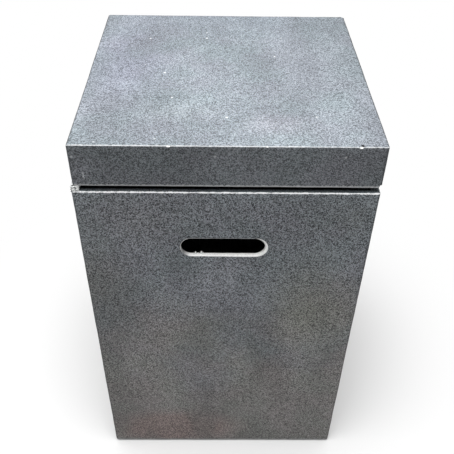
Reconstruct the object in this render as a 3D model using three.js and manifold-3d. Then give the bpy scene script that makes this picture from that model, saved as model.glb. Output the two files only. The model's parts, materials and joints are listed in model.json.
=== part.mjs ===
// A square fibre-concrete cover that stands over an upright gas cylinder and serves as a side table.
// The cast body is open at the top and the bottom. It has a hand slot in its front and rear walls and
// a hose port at the foot of its rear wall. The cast lid lifts straight off: four bumpers on the rim
// keep a shadow gap under it, and four corner guides screwed under it drop into the body's mouth.
// Four screw feet in the body's lower corners level it on uneven paving.
// Millimetres, +Z up. The origin is on the floor under the body's centre, and the front faces -Y.

import * as THREE from 'three';
import { mergeVertices } from 'three/addons/utils/BufferGeometryUtils.js';
import Module from 'manifold-3d';

const wasm = await Module();
wasm.setup();

// Cast body: a square tube with thin walls.
const bodyWidth = 390;
const bodyHeight = 575;
const wall = 9;
const floorGap = 4;
const outerCornerRadius = 3;
const innerCornerRadius = 6;
const edgeRadius = 1.5;

// Cast lid: a shallow tray turned over, a little narrower than the body.
const lidInset = 1.5;
const lidHeight = 60;
const lidPlate = 12;
const lidCornerRadius = 4;
const revealGap = 8.2;

// Hand slots, one in the front wall and one in the rear wall.
const slotLength = 118;
const slotHeight = 32;
const slotBelowRim = 93.5;
const slotOffset = -2;

// Hose port, an arch that is open to the floor. Its rubber edging lies flush in a rebate outside.
const portWidth = 50;
const portHeight = 50;
const trimThickness = 2.4;
const trimLip = 8;

// Bumpers of pale crumb rubber on the rim. The front left one sits at the very corner, the others further in.
const bumperLength = 30;
const bumperSetback = 30;
const bumperCornerSetback = 0.6;
const bumperCornerRadius = 1.6;

// Guides under the lid, each an angle with a flange that is screwed up into a boss.
const guideLeg = 40;
const guideWall = 4.5;
const guideFlange = 5;
const guideReach = 14;
const guideEdgeRadius = 1;
const bossWidth = 44;
const bossDrop = 10;

// Screws and threaded inserts of the guides.
const screwRadius = 3;
const screwHeadRadius = 5.8;
const screwHeadHeight = 3.6;
const screwLength = 16;
const socketRadius = 2;
const socketDepth = 2;
const guideInsertRadius = 4.8;
const guideInsertLength = 12;

// Screw feet, their inserts, and the corner gussets of the body that hold them.
const gussetLeg = 53;
const gussetCover = 8;
const footInset = 16;
const footInsertRadius = 5.8;
const footInsertLength = 18;
const stemRadius = 4;
const stemLength = 24;
const stemTail = 4;
const stemEndRoom = 2;
const stemChamfer = 0.8;
const hexThickness = 3.5;
const hexAcrossFlats = 14;
const footPadRadius = 14;
const footPadShoulder = 11;
const footPadRim = 3;
const footPadHeight = 7.5;

// Inserts have a waist that keys them into the concrete.
const waistDepth = 0.8;
const waistShare = 0.4;

// Running and seating clearance between separate pieces, and how far a cutter runs past a face.
const fit = 0.3;
const overrun = 1;

// Smoothness of arcs and edges, in steps.
const arcSteps = 4;
const slotArcSteps = 12;
const edgeSteps = 2;
const turnedSteps = 24;

// Heights that follow from the sizes above.
const bodyRim = floorGap + bodyHeight;
const lidBottom = bodyRim + revealGap;
const gussetBottom = footPadHeight + fit + hexThickness + fit;
const footHoleDepth = stemLength + fit + stemEndRoom;
const gussetTop = gussetBottom + footHoleDepth + gussetCover;
const slotCentre = bodyRim - slotBelowRim;

// The lid has play in the body's mouth, and rests with its right side flush with the body's.
const lidWidth = bodyWidth - 2 * lidInset;
const lidShift = lidInset;

// Widths of the two hollows.
const bodyMouth = bodyWidth - 2 * wall;
const lidHollow = lidWidth - 2 * wall;
const bossBottom = lidHeight - lidPlate - bossDrop;

const quarterTurn = Math.PI / 2;

// Materials.
const castConcrete = new THREE.MeshStandardMaterial({ color: 0x7d8187, roughness: 0.9, metalness: 0 });
const crumbRubber = new THREE.MeshStandardMaterial({ color: 0xb4b7b5, roughness: 0.95, metalness: 0 });
const blackNylon = new THREE.MeshStandardMaterial({ color: 0x26282a, roughness: 0.55, metalness: 0 });
const blackRubber = new THREE.MeshStandardMaterial({ color: 0x1c1d1e, roughness: 0.8, metalness: 0 });
const zincSteel = new THREE.MeshStandardMaterial({ color: 0xb9bcc0, roughness: 0.35, metalness: 1 });
const brass = new THREE.MeshStandardMaterial({ color: 0xb59a5c, roughness: 0.4, metalness: 1 });

// Turns a closed geometry into a solid that can be cut and joined.
function solid(geometry) {
  const loose = geometry.index ? geometry.toNonIndexed() : geometry;
  const bare = new THREE.BufferGeometry().setAttribute('position', loose.getAttribute('position'));
  const merged = mergeVertices(bare);
  return new wasm.Manifold(new wasm.Mesh({
    numProp: 3,
    vertProperties: merged.attributes.position.array,
    triVerts: new Uint32Array(merged.index.array),
  }));
}

// Turns a solid back into a flat-shaded geometry.
function surface(body) {
  const { vertProperties, triVerts } = body.getMesh();
  const indexed = new THREE.BufferGeometry();
  indexed.setAttribute('position', new THREE.BufferAttribute(vertProperties, 3));
  indexed.setIndex(new THREE.BufferAttribute(triVerts, 1));
  const flat = indexed.toNonIndexed();
  flat.computeVertexNormals();
  return flat;
}

function piece(name, geometry, material) {
  const mesh = new THREE.Mesh(geometry, material);
  mesh.name = name;
  return mesh;
}

// A rectangle round the origin whose four corners are arcs.
function roundedRectangle(width, depth, radius) {
  const x = width / 2 - radius;
  const y = depth / 2 - radius;
  const shape = new THREE.Shape();
  shape.absarc(x, y, radius, 0, quarterTurn);
  shape.absarc(-x, y, radius, quarterTurn, 2 * quarterTurn);
  shape.absarc(-x, -y, radius, 2 * quarterTurn, 3 * quarterTurn);
  shape.absarc(x, -y, radius, 3 * quarterTurn, 4 * quarterTurn);
  shape.closePath();
  return shape;
}

// A square round the origin whose corners are cut off, with the given length gone from each side.
function cutCornerSquare(width, cut) {
  const far = width / 2;
  const near = far - cut;
  return new THREE.Shape([
    new THREE.Vector2(far, -near), new THREE.Vector2(far, near),
    new THREE.Vector2(near, far), new THREE.Vector2(-near, far),
    new THREE.Vector2(-far, near), new THREE.Vector2(-far, -near),
    new THREE.Vector2(-near, -far), new THREE.Vector2(near, -far),
  ]);
}

// A square round the origin with a square notch out of each corner.
function notchedSquare(width, notch) {
  const far = width / 2;
  const near = far - notch;
  return new THREE.Shape([
    new THREE.Vector2(far, -near), new THREE.Vector2(far, near), new THREE.Vector2(near, near),
    new THREE.Vector2(near, far), new THREE.Vector2(-near, far), new THREE.Vector2(-near, near),
    new THREE.Vector2(-far, near), new THREE.Vector2(-far, -near), new THREE.Vector2(-near, -near),
    new THREE.Vector2(-near, -far), new THREE.Vector2(near, -far), new THREE.Vector2(near, -near),
  ]);
}

// A long hole with round ends.
function stadium(length, height, x, y) {
  const radius = height / 2;
  const reach = length / 2 - radius;
  const shape = new THREE.Shape();
  shape.absarc(x + reach, y, radius, -quarterTurn, quarterTurn);
  shape.absarc(x - reach, y, radius, quarterTurn, 3 * quarterTurn);
  shape.closePath();
  return shape;
}

// The port's outline, moved outwards by the given margin, with its feet at the given height.
function arch(margin, foot) {
  const radius = portWidth / 2 + margin;
  const springing = floorGap + portHeight - portWidth / 2;
  const shape = new THREE.Shape();
  shape.moveTo(radius, foot);
  shape.lineTo(radius, springing);
  shape.absarc(0, springing, radius, 0, 2 * quarterTurn);
  shape.lineTo(-radius, foot);
  shape.closePath();
  return shape;
}

// A shape drawn out along Z, with its top and bottom edges rounded if an edge radius is given.
function prism(shape, bottom, top, edge = 0, curveSegments = arcSteps) {
  const geometry = new THREE.ExtrudeGeometry(shape, {
    depth: top - bottom - 2 * edge,
    bevelEnabled: edge > 0,
    bevelThickness: edge,
    bevelSize: edge,
    bevelOffset: -edge,
    bevelSegments: edgeSteps,
    curveSegments,
  });
  return geometry.translate(0, 0, bottom + edge);
}

// A shape drawn in X and Z, and drawn out along Y from the near to the far value.
function wallPrism(shape, near, far, curveSegments = slotArcSteps) {
  return prism(shape, -far, -near, 0, curveSegments).rotateX(quarterTurn);
}

// A round bar along Z.
function bar(radius, bottom, top, x = 0, y = 0) {
  const height = top - bottom;
  const geometry = new THREE.CylinderGeometry(radius, radius, height, turnedSteps);
  return geometry.rotateX(quarterTurn).translate(x, y, bottom + height / 2);
}

// A turned piece: the profile is a list of [radius, height] pairs, and the axis is Z.
function turned(profile) {
  const points = profile.map(([radius, height]) => new THREE.Vector2(radius, height));
  return new THREE.LatheGeometry(points, turnedSteps).rotateX(quarterTurn);
}

// The four corners, each as a turn from the rear right one.
const corners = [
  { name: 'rear_right', turn: 0 },
  { name: 'rear_left', turn: quarterTurn },
  { name: 'front_left', turn: 2 * quarterTurn },
  { name: 'front_right', turn: 3 * quarterTurn },
];

// Where a foot and a guide's screw stand, along both X and Y, at the rear right corner.
const footPlace = bodyMouth / 2 - footInset;
const screwPlace = lidHollow / 2 - fit - guideLeg / 2;

// Cuts a copy of each cutter at each of the four corners.
function cutAtCorners(body, cutters) {
  let result = body;
  for (const { turn } of corners) {
    for (const cutter of cutters) {
      result = result.subtract(solid(cutter.clone().rotateZ(turn)));
    }
  }
  return result;
}

function bodyShell() {
  const outside = prism(roundedRectangle(bodyWidth, bodyWidth, outerCornerRadius), floorGap, bodyRim, edgeRadius);
  const mouth = roundedRectangle(bodyMouth, bodyMouth, innerCornerRadius);
  const hollow = prism(mouth, gussetTop, bodyRim + overrun);
  const betweenGussets = prism(cutCornerSquare(bodyMouth, gussetLeg), floorGap - overrun, gussetTop + overrun);
  const footRecess = prism(mouth, floorGap - overrun, gussetBottom);
  const slots = wallPrism(
    stadium(slotLength, slotHeight, slotOffset, slotCentre),
    -bodyWidth / 2 - overrun,
    bodyWidth / 2 + overrun,
  );
  const port = wallPrism(arch(0, floorGap - overrun), bodyMouth / 2 - overrun, bodyWidth / 2 + overrun);
  const trimRebate = wallPrism(
    arch(trimLip + fit, floorGap - overrun),
    bodyWidth / 2 - trimThickness - fit,
    bodyWidth / 2 + overrun,
  );
  const cast = solid(outside)
    .subtract(solid(hollow))
    .subtract(solid(betweenGussets))
    .subtract(solid(footRecess))
    .subtract(solid(slots))
    .subtract(solid(port))
    .subtract(solid(trimRebate));
  const insertPocket = bar(
    footInsertRadius + fit, gussetBottom - overrun, gussetBottom + footInsertLength + fit, footPlace, footPlace,
  );
  const stemHole = bar(
    stemRadius + fit, gussetBottom, gussetBottom + footHoleDepth, footPlace, footPlace,
  );
  return piece('body_shell', surface(cutAtCorners(cast, [insertPocket, stemHole])), castConcrete);
}

function lidShell() {
  const outside = prism(roundedRectangle(lidWidth, lidWidth, lidCornerRadius), 0, lidHeight, edgeRadius);
  const underBosses = prism(roundedRectangle(lidHollow, lidHollow, innerCornerRadius), -overrun, bossBottom);
  const betweenBosses = prism(notchedSquare(lidHollow, bossWidth), -overrun, lidHeight - lidPlate);
  const cast = solid(outside)
    .subtract(solid(underBosses))
    .subtract(solid(betweenBosses));
  const insertPocket = bar(
    guideInsertRadius + fit, bossBottom - overrun, bossBottom + guideInsertLength + fit, screwPlace, screwPlace,
  );
  return piece('lid_shell', surface(cutAtCorners(cast, [insertPocket])), castConcrete);
}

// A guide at the rear right corner of the lid's hollow, in the lid's frame.
function guideGeometry() {
  const back = lidHollow / 2 - fit;
  const front = back - guideLeg;
  const inner = back - guideWall;
  const radius = innerCornerRadius - fit;
  const top = bossBottom - fit;
  const angle = new THREE.Shape();
  angle.moveTo(back, front);
  angle.lineTo(back, back - radius);
  angle.absarc(back - radius, back - radius, radius, 0, quarterTurn);
  angle.lineTo(front, back);
  angle.lineTo(front, inner);
  angle.lineTo(inner, inner);
  angle.lineTo(inner, front);
  angle.closePath();
  const flange = new THREE.Shape();
  flange.moveTo(back, front);
  flange.lineTo(back, back - radius);
  flange.absarc(back - radius, back - radius, radius, 0, quarterTurn);
  flange.lineTo(front, back);
  flange.lineTo(front, front);
  flange.closePath();
  const hole = bar(screwRadius + fit, top - guideFlange - overrun, top + overrun, screwPlace, screwPlace);
  return surface(
    solid(prism(angle, -revealGap - guideReach, top, guideEdgeRadius))
      .add(solid(prism(flange, top - guideFlange, top, guideEdgeRadius)))
      .subtract(solid(hole)),
  );
}

// A pan-head screw along Z, with its bearing face at height zero and its thread above it.
function guideScrewGeometry() {
  return turned([
    [0, socketDepth - screwHeadHeight],
    [socketRadius, socketDepth - screwHeadHeight],
    [socketRadius, -screwHeadHeight],
    [screwHeadRadius - edgeRadius, -screwHeadHeight],
    [screwHeadRadius, edgeRadius - screwHeadHeight],
    [screwHeadRadius, 0],
    [screwRadius, 0],
    [screwRadius, screwLength - stemChamfer],
    [screwRadius - stemChamfer, screwLength],
    [0, screwLength],
  ]);
}

// A threaded insert along Z, standing on height zero, with a waist round its middle.
function insertGeometry(radius, bore, length) {
  const waistLow = length * (1 - waistShare) / 2;
  const waistHigh = length - waistLow;
  return turned([
    [bore, 0],
    [radius, 0],
    [radius, waistLow],
    [radius - waistDepth, waistLow + waistDepth],
    [radius - waistDepth, waistHigh - waistDepth],
    [radius, waistHigh],
    [radius, length],
    [bore, length],
    [bore, 0],
  ]);
}

// The lid with its guides, their screws and inserts, in a frame at the middle of the skirt's lower edge.
function lidAssembly() {
  const lid = new THREE.Group();
  lid.position.set(lidShift, 0, lidBottom);
  lid.add(lidShell());
  for (const { name, turn } of corners) {
    const corner = new THREE.Group();
    corner.rotation.z = turn;
    const guide = piece(`lid_guide_${name}`, guideGeometry(), blackNylon);
    const insert = piece(
      `guide_insert_${name}`,
      insertGeometry(guideInsertRadius, screwRadius + fit, guideInsertLength),
      brass,
    );
    insert.position.set(screwPlace, screwPlace, bossBottom);
    const screw = piece(`guide_screw_${name}`, guideScrewGeometry(), zincSteel);
    screw.position.set(screwPlace, screwPlace, bossBottom - fit - guideFlange - fit);
    corner.add(guide, insert, screw);
    lid.add(corner);
  }
  return lid;
}

// A bumper that lies along a side wall's rim. Its setback is measured from the body's front or rear face.
function bumper(name, side, end, setback) {
  const width = wall - 2 * fit;
  const shape = roundedRectangle(width, bumperLength, bumperCornerRadius);
  const mesh = piece(name, prism(shape, bodyRim + fit, lidBottom - fit), crumbRubber);
  const fromMiddle = bodyWidth / 2 - setback - bumperLength / 2;
  mesh.position.set(side * (bodyWidth - wall) / 2, end * fromMiddle, 0);
  return mesh;
}

function bumpers() {
  return [
    bumper('lid_bumper_front_left', -1, -1, bumperCornerSetback),
    bumper('lid_bumper_front_right', 1, -1, bumperSetback),
    bumper('lid_bumper_rear_left', -1, 1, bumperSetback),
    bumper('lid_bumper_rear_right', 1, 1, bumperSetback),
  ];
}

// A rubber channel pushed over the edge of the port, with a lip on each face of the wall.
function portTrim() {
  const inside = bodyMouth / 2 - fit - trimThickness;
  const outside = bodyWidth / 2;
  const channel = solid(wallPrism(arch(trimLip, floorGap), inside, outside));
  const passage = solid(wallPrism(
    arch(-fit - trimThickness, floorGap - overrun),
    inside - overrun,
    outside + overrun,
  ));
  const betweenLips = solid(wallPrism(
    arch(trimLip + overrun, floorGap - overrun),
    inside + trimThickness,
    outside - trimThickness,
  ));
  const web = solid(wallPrism(arch(-fit, floorGap), inside, outside));
  return piece(
    'hose_port_trim',
    surface(channel.subtract(betweenLips.subtract(web)).subtract(passage)),
    blackRubber,
  );
}

// The threaded stem of a foot, with its hexagon for a spanner, standing in the foot's pad.
function stemGeometry() {
  const hexBottom = footPadHeight + fit;
  const hexTop = hexBottom + hexThickness;
  const rod = turned([
    [0, hexBottom - stemTail],
    [stemRadius, hexBottom - stemTail],
    [stemRadius, hexTop + stemLength - stemChamfer],
    [stemRadius - stemChamfer, hexTop + stemLength],
    [0, hexTop + stemLength],
  ]);
  const hexRadius = hexAcrossFlats / 2 / Math.cos(Math.PI / 6);
  const hexagon = new THREE.CylinderGeometry(hexRadius, hexRadius, hexThickness, 6)
    .rotateX(quarterTurn)
    .translate(0, 0, hexBottom + hexThickness / 2);
  return surface(solid(rod).add(solid(hexagon)));
}

// The pad of a foot: a low dome with a blind socket that takes the stem's tail.
function footPadGeometry() {
  const socketFloor = footPadHeight - stemTail;
  return turned([
    [0, 0],
    [footPadRadius - edgeRadius, 0],
    [footPadRadius, edgeRadius],
    [footPadRadius, footPadRim],
    [footPadShoulder, footPadHeight],
    [stemRadius + fit, footPadHeight],
    [stemRadius + fit, socketFloor],
    [0, socketFloor],
  ]);
}

// The inserts in the body's gussets, and the feet that turn in them.
function feet() {
  const all = new THREE.Group();
  for (const { name, turn } of corners) {
    const corner = new THREE.Group();
    corner.rotation.z = turn;
    const foot = new THREE.Group();
    foot.position.set(footPlace, footPlace, 0);
    const insert = piece(
      `foot_insert_${name}`,
      insertGeometry(footInsertRadius, stemRadius + fit, footInsertLength),
      brass,
    );
    insert.position.z = gussetBottom;
    foot.add(
      insert,
      piece(`foot_stem_${name}`, stemGeometry(), zincSteel),
      piece(`foot_pad_${name}`, footPadGeometry(), blackRubber),
    );
    corner.add(foot);
    all.add(corner);
  }
  return all;
}

const cover = new THREE.Group();
cover.add(bodyShell(), lidAssembly(), ...bumpers(), portTrim(), feet());

export default cover;
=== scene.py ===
"""A square concrete cover for an upright gas cylinder, with a lift-off lid, dressed over its frame.

Lengths are in metres, +Z is up, and the front faces -Y. Every piece keeps its place in its mesh.
"""

import json
import math
import random
from collections import namedtuple
from contextlib import contextmanager

import bmesh
import bpy
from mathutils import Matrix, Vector

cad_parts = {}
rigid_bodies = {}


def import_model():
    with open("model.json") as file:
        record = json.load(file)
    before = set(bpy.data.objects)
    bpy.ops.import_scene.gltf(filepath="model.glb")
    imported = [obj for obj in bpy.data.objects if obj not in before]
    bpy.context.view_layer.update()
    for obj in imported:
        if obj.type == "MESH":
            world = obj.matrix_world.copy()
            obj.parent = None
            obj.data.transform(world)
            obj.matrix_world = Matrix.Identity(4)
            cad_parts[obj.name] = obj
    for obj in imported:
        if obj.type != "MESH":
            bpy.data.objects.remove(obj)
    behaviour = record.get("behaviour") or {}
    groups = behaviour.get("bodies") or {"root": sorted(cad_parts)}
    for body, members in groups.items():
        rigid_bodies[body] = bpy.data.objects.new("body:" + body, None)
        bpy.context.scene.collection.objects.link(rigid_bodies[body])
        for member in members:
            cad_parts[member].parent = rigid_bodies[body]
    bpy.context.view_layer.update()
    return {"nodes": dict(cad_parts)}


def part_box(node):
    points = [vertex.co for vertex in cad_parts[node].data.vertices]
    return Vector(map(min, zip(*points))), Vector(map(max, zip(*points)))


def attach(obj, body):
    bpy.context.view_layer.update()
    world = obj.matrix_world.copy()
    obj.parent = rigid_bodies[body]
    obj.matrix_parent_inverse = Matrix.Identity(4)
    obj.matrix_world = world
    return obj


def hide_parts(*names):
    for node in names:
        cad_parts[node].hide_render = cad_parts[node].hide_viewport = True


bl_info = {
    "name": "Gas Cylinder Cover Table",
    "version": (1, 0, 0),
    "blender": (4, 5, 0),
    "location": "3D View > Sidebar > Cover Table",
    "description": "Builds a concrete gas cylinder cover with its lid, feet and studio",
    "category": "Add Mesh",
}

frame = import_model()
BODY_LOW, BODY_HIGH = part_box("body_shell")
LID_LOW, LID_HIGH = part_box("lid_shell")
CORNERS = {
    "front_left": (-1, -1),
    "front_right": (1, -1),
    "rear_left": (-1, 1),
    "rear_right": (1, 1),
}

# Modelling: how far a cutter reaches past what it cuts, and how far pieces made one reach into each
# other; how near counts as the same place, and how near points are merged; and the share of a
# direction that has to lie along an axis for a face to face along it, or an edge to run along it.
OVERRUN = 0.003
OVERLAP = 0.0005
SAME_PLACE = 1e-6
MERGED = 0.00001
FACING = 0.9
PARALLEL = 0.999

# Threads: the rings of points to a turn, and how much stays smooth at a screw's and a stem's end.
THREAD_RINGS = 3
SCREW_TIP = 0.0002
STEM_TIP = 0.0004

# The lid's upright corners are worn to different radii.
LID_CORNERS = {"front_left": 0.0015, "front_right": 0.003, "rear_left": 0.004, "rear_right": 0.007}

# A finer wave lies over a casting's faces: its height and its width, as shares of the first wave's.
FINE_WAVE_HEIGHT = 0.4
FINE_WAVE_WIDTH = 0.2

# Chips along a casting's edges. Those at random lie between these shares of an edge, half lengths
# and depths. The least radius of a chip follows, and how lumpy it is for its radius.
CHIP_SHARES = (0.04, 0.96)
CHIP_REACHES = (0.0012, 0.004)
CHIP_DEPTHS = (0.0003, 0.0009)
CHIP_LEAST = 0.0016
LUMPINESS = 0.16

# Chips on the lid's front top edge: the share of the edge, the half length and the depth of each.
LID_CHIPS = (
    (0.911, 0.0026, 0.0019),
    (0.95, 0.003, 0.0006),
    (0.315, 0.0026, 0.0014),
    (0.62, 0.002, 0.001),
)

# The ball that takes off the lid's lower front right corner: its radius, and how deep it cuts.
WORN_CORNER = (0.02, 0.0042)

# Burrs on the front slot's lower inner edge: the share of its length and the half width of each.
BURRS = ((0.17, 0.0024), (0.2, 0.0014), (0.24, 0.0028), (0.26, 0.0015), (0.71, 0.0013))

# Loose crumbs on a bumper: how many, and the least and the greatest radius for a crumb's width.
LOOSE_CRUMBS = 26
LOOSE_CRUMB_RADII = (0.3, 0.55)

# Patches and flecks on the concrete: the tone, how strong it is, the middle and the reach each way.
CHIPPED = (0.76, 0.775, 0.785)
BODY_PATCHES = (
    ((0.325, 0.338, 0.37), 0.6, (-0.005, -0.195, 0.4), (0.1, 0.03, 0.08)),
    ((0.145, 0.143, 0.138), 0.75, (-0.18, -0.195, 0.39), (0.08, 0.03, 0.16)),
    ((0.163, 0.166, 0.176), 0.75, (-0.12, -0.195, 0.535), (0.12, 0.03, 0.07)),
    ((0.235, 0.193, 0.184), 2.0, (-0.09, -0.195, 0.045), (0.16, 0.03, 0.068)),
    ((0.203, 0.205, 0.179), 0.7, (0.12, -0.195, 0.36), (0.09, 0.03, 0.14)),
    ((0.163, 0.172, 0.182), 0.5, (0.12, -0.195, 0.555), (0.1, 0.03, 0.02)),
)
LID_PATCHES = (
    ((0.255, 0.265, 0.325), 0.8, (-0.14, 0.03, 0.647), (0.09, 0.2, 0.01)),
    # These paler patches near the front of the top, and the darker one over its back half, paint the top
    # lighter towards the front, as the light falls on it.
    ((0.36, 0.395, 0.43), 0.8, (-0.06, -0.115, 0.647), (0.08, 0.04, 0.01)),
    ((0.345, 0.35, 0.395), 0.6, (0.066, -0.144, 0.647), (0.07, 0.04, 0.01)),
    ((0.222, 0.248, 0.282), 0.85, (0.0, 0.2, 0.647), (0.3, 0.15, 0.01)),
    ((0.225, 0.25, 0.28), 0.5, (0.0, 0.15, 0.647), (0.16, 0.018, 0.01)),
    ((0.113, 0.124, 0.131), 0.7, (-0.04, -0.1935, 0.64), (0.16, 0.01, 0.009)),
    (CHIPPED, 0.35, (-0.1764, -0.1935, 0.603), (0.0022, 0.004, 0.008)),
)
LID_FLECKS = (
    (CHIPPED, 1.0, (-0.0876, -0.1782, 0.647), (0.0022, 0.0016, 0.004)),
    (CHIPPED, 1.0, (-0.1599, -0.1858, 0.647), (0.002, 0.0016, 0.004)),
    # The dark fleck is a painted shadow in the hollow of the chip on the lid's front top edge.
    ((0.012, 0.013, 0.015), 5.0, (0.1626, -0.1898, 0.6472), (0.0028, 0.0032, 0.004)),
)
# Painted shade darkening the left end of the front slot's throat: the tone, how strong it is, the middle and
# the reach each way.
RAW_PAINTED_SHADE = (((0.06, 0.064, 0.07), 1.0, (-0.0625, -0.193, 0.474), (0.018, 0.012, 0.012)),)

# A casting's box and look. Depth is the strength of its tone on the sides. The pairs hold at its top
# and at its foot: how far the pale edges reach, how pale they are, with wear and a painted highlight,
# how much painted shade darkens the level edges, and how strong the grain is. Steep is how much less
# the wear reaches down a side than over it, near the top.
Casting = namedtuple("Casting", "low high depth reach pale dark grain steep patches flecks")
BODY_LOOK = Casting(
    low=BODY_LOW,
    high=BODY_HIGH,
    depth=1.13,
    reach=(0.0016, 0.0034),
    pale=(1.0, 0.3),
    dark=(0.0, 0.8),
    grain=(0.6, 0.5),
    steep=1.0,
    patches=BODY_PATCHES,
    flecks=(),
)
LID_LOOK = Casting(
    low=LID_LOW,
    high=LID_HIGH,
    depth=0.88,
    reach=(0.002, 0.0027),
    pale=(0.49, 0.42),
    dark=(0.7, 0.0),
    grain=(0.47, 0.47),
    steep=2.6,
    patches=LID_PATCHES,
    flecks=LID_FLECKS,
)

# Lengths of the finishes: the soft border of worn and painted edges, how far wear and painted highlight
# reach round a hand slot, how far painted shade reaches in from an edge, where the painted shade beside
# an upright corner starts and is full, and how far above and below a casting's middle its top and foot blend.
WEAR_BORDER = 0.0006
SLOT_WEAR = 0.0011
EDGE_SHADE_REACH = 0.0021
CORNER_SHADE = (0.004, 0.0008)
HALFWAY = 0.01

# How deep the finishes' fine relief is, and how wide their patterns are.
STONE_RELIEF = 0.0014
RAW_RELIEF = 0.0008
INSIDE_RELIEF = 0.0015
NYLON_RELIEF = 0.0001
RUBBER_RELIEF = 0.0002
METAL_RELIEF = 0.00006
MOULD_TEXTURE = 0.0012
DUST_PATCH = 0.03
METAL_CLOUD = 0.004
METAL_GRAIN = 0.0006

# The stone's grain: how much even noise and each grain's own number add to the speckle, the range
# of the speckle, how far that swings the tone, how much more on top, and the least share of the tone.
EVEN_SHARE = 1.3
KIND_SHARE = 0.5
SPECKLE_RANGE = (0.45, 1.35)
GRAIN_SWING = 1.5
GRAIN_MORE_ON_TOP = -0.13
GRAIN_LEAST = 0.1

# How strongly these show on the stone, from 0 to 1: wear on the edges that don't face the front, wear
# and painted highlight round the slots, pale flecks on a side and how much more on top, painted shade
# beside an upright corner, and pores.
OTHER_WEAR = 0.2
SLOT_WEAR_SHARE = 0.5
FLECK_SHARE = 0.25
FLECK_MORE_ON_TOP = 0.55
CORNER_SHADE_SHARE = 0.4
PORE_SHARE = 0.7

# The stone's clouds drawn out along each axis, and the two tints that drift over it.
CLOUD_STRETCH = (1, 0.6, 0.5)
VIOLET_TINT = (1.016, 0.994, 1.008)
GREEN_TINT = (0.972, 1.008, 0.992)

# How much warmer the stone gets to each side, upwards and by drifting noise, and how warm it starts.
WARMER_ASIDE = 1.9
WARMER_UPWARDS = -2.2
WARMER_BY_DRIFT = 1.6
WARM_START = 0.52


def length(name, description, default):
    """A length that the user can change."""
    return bpy.props.FloatProperty(
        name=name, description=description, default=default, unit="LENGTH", precision=4
    )


def colour(name, description, default):
    """A colour that the user can change, in linear values."""
    return bpy.props.FloatVectorProperty(
        name=name, description=description, default=default, subtype="COLOR", size=3, min=0, max=1
    )


def number(name, description, default):
    """A plain number that the user can change."""
    return bpy.props.FloatProperty(name=name, description=description, default=default)


class CoverShellSizes(bpy.types.PropertyGroup):
    """Sizes of the cast body and the cast lid."""

    wall: length("Wall", "Thickness of the body's walls and the lid's skirt", 0.009)
    lid_plate: length("Lid plate", "Thickness of the lid's top", 0.012)
    lid_skew: length("Lid skew", "How much lower the lid's skirt reaches at its right end", 0.0009)
    body_corner: length("Body corner", "Radius of the body's upright corners", 0.003)
    inner_corner: length("Inner corner", "Radius of the corners of both hollows", 0.006)
    edge: length("Edge", "Rounding of the outer edges", 0.0015)
    rim_edge: length("Rim edge", "Chamfer on the mouth's inner edge", 0.0012)
    mesh_step: length("Mesh step", "Width of one face of the outer walls", 0.005)
    wave: length("Waviness", "How far the cast faces wander from flat", 0.0008)
    wave_size: length("Wave length", "Width of one wave of the cast faces", 0.07)
    boss: length("Boss", "Width of the lid's corner bosses", 0.044)
    boss_drop: length("Boss drop", "How far the bosses hang below the lid's plate", 0.01)
    gusset: length("Gusset", "Leg of the body's corner gussets", 0.053)
    gusset_height: length("Gusset height", "Height of the gussets over their underside", 0.0343)


class CoverOpeningSizes(bpy.types.PropertyGroup):
    """Sizes of the hand slots, the hose port and the insert pockets."""

    slot_length: length("Slot length", "Length of a hand slot", 0.118)
    slot_height: length("Slot height", "Height of a hand slot", 0.032)
    slot_drop: length("Slot drop", "From the rim down to the slot's centre", 0.0935)
    slot_offset: length("Slot offset", "From the body's middle to the slot's centre", -0.002)
    slot_edge: length("Slot edge", "Rounding of the slot's outer edge", 0.0007)
    slot_flare: length("Slot flare", "Further widening of the slot's outer edge at its right end", 0.003)
    slot_inner_edge: length("Slot inner edge", "Rounding of the slot's inner edge", 0.0042)
    port_width: length("Port width", "Width of the hose port", 0.05)
    port_height: length("Port height", "Height of the hose port over the body's foot", 0.05)
    rebate: length("Rebate", "Depth of the rebate round the port", 0.0027)
    edging: length("Edging", "Thickness of the port's rubber edging", 0.0024)
    edging_lip: length("Edging lip", "Reach of the edging's lips over the wall", 0.008)
    edging_edge: length("Edging edge", "Rounding of the edging's edges", 0.0007)
    clearance: length("Clearance", "Gap between pieces that are set into each other", 0.0003)


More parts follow.
